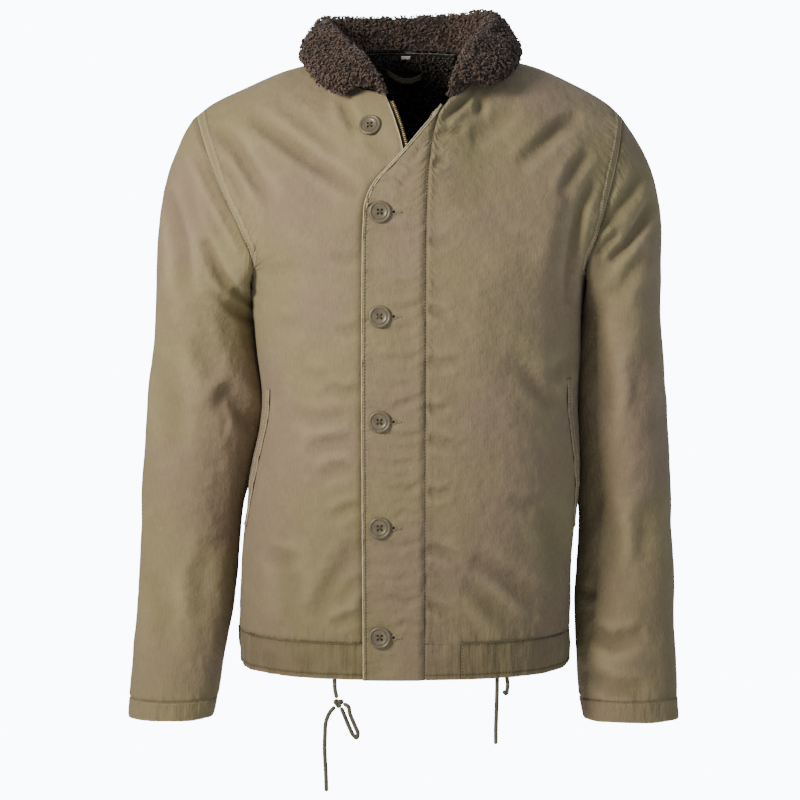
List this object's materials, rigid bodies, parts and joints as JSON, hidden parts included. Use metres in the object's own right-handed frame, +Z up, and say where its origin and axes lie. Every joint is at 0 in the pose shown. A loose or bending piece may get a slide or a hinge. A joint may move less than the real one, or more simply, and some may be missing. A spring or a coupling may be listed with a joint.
{
  "type": "deck jacket",
  "caption": "Waist-length cotton deck jacket with a thick pile collar, buttoned fly over a zip, slanted pockets, plain cuffs and a drawcord at the hem, filled out with no wearer.",
  "frame": {"origin": "the middle of the neck opening at the height of the shoulder line's neck points, where a wearer's neck or a stand holds the jacket", "axes": "+Z up, the front faces -Y, +X towards the wearer's left sleeve"},
  "size_m": [0.6033, 0.2846, 0.8342],
  "materials": {
    "shell_cloth": "fine ribbed cotton, matt",
    "pile_cloth": "curled pile",
    "lining_cloth": "dark pile",
    "button_plastic": "satin",
    "zip_brass": "aged",
    "cord_cotton": "braided cotton",
    "label_cloth": "woven tape, blank"
  },
  "bodies": {
    "root": {"front_right": "shell_cloth", "front_left": "shell_cloth", "back": "shell_cloth", "waistband_right": "shell_cloth", "waistband_left": "shell_cloth", "waistband_back": "shell_cloth", "fly_strip": "shell_cloth", "zip_tape_right": "shell_cloth", "zip_tape_left": "shell_cloth", "pocket_welt_right": "shell_cloth", "pocket_welt_left": "shell_cloth", "sleeve_right": "shell_cloth", "sleeve_left": "shell_cloth", "sleeve_hem_right": "shell_cloth", "sleeve_hem_left": "shell_cloth", "zip_slider": "zip_brass", "collar": "pile_cloth", "lining_back": "lining_cloth", "hanger_loop": "cord_cotton", "neck_tab": "label_cloth", "button_1": "button_plastic", "button_2": "button_plastic", "button_3": "button_plastic", "button_4": "button_plastic", "button_5": "button_plastic", "button_6": "button_plastic", "drawcord_right_top": "cord_cotton", "drawcord_right_knot": "cord_cotton", "drawcord_right_loop": "cord_cotton", "drawcord_right_tail": "cord_cotton", "drawcord_left_loop": "cord_cotton", "drawcord_left_tail": "cord_cotton"}
  },
  "joints": []
}
